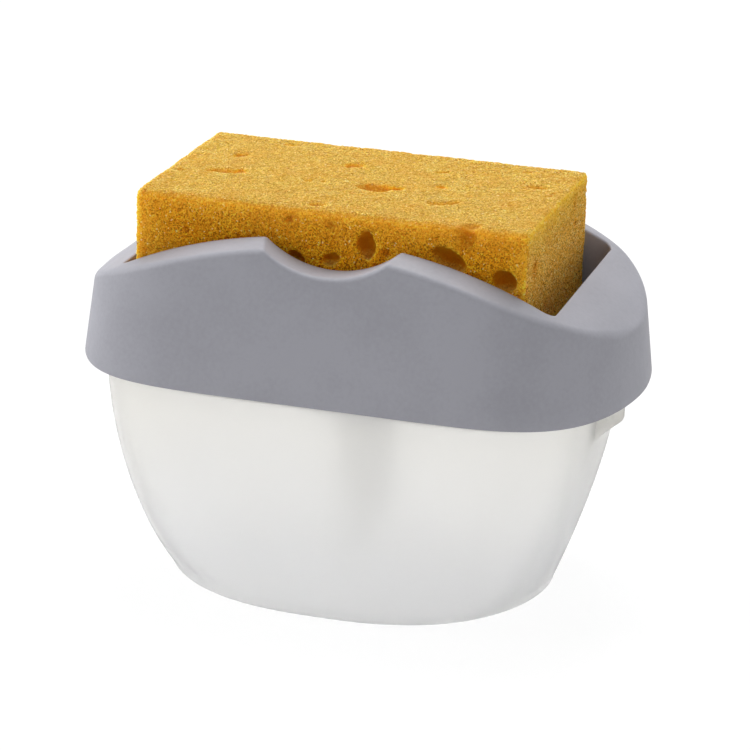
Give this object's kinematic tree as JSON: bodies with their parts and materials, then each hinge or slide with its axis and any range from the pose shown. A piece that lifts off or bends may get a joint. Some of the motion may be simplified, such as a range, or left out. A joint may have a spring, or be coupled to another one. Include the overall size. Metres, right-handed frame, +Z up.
{
  "type": "soap dispenser with sponge holder",
  "caption": "Pump soap dispenser: a milky tank under a waved cover whose well holds a sponge on a sprung press plate; the cover lifts off to fill the tank.",
  "frame": {"origin": "middle of the tank's flat base, on the table", "axes": "+Z up, +X along the length towards the end where the gap beside the sponge is wide, -Y the front"},
  "size_m": [0.156, 0.096, 0.1101],
  "materials": {
    "milky_tank": "satin",
    "grey_cover": "satin",
    "grey_plate": "satin",
    "inner_plastic": "satin",
    "pump_plastic": "satin",
    "soft_seal": "matte",
    "valve_silicone": "satin",
    "spring_steel": "satin",
    "ball_steel": "polished",
    "sponge_foam": "matte"
  },
  "bodies": {
    "tank": {"tank": "milky_tank"},
    "cover": {"cover": "grey_cover", "tank_lid": "inner_plastic", "lid_seal": "soft_seal", "pump_cylinder": "pump_plastic", "collar_gasket": "soft_seal", "pump_collar": "pump_plastic", "stem_guide": "pump_plastic", "ball_cage": "pump_plastic", "dip_tube": "pump_plastic", "pump_spring": "spring_steel"},
    "ball": {"inlet_ball": "ball_steel"},
    "press": {"press_plate": "grey_plate", "outlet_valve": "valve_silicone", "valve_retainer": "grey_plate", "pump_stem": "pump_plastic", "piston": "pump_plastic", "piston_seal": "soft_seal"},
    "sponge": {"sponge": "sponge_foam"}
  },
  "joints": [
    {"name": "cover_lift", "type": "slide", "parent": "tank", "child": "cover", "axis": [0, 0, 1], "range_m": [0, 0.08]},
    {"name": "ball_lift", "type": "slide", "parent": "cover", "child": "ball", "axis": [0, 0, 1], "range_m": [0, 0.0025]},
    {"name": "press_slide", "type": "slide", "parent": "cover", "child": "press", "axis": [0, 0, -1], "range_m": [0, 0.007], "stiffness_N_per_m": 300, "springref_m": -0.012, "deforming": ["pump_spring"]},
    {"name": "sponge_lift", "type": "slide", "parent": "press", "child": "sponge", "axis": [0, 0, 1], "range_m": [0, 0.06]}
  ]
}
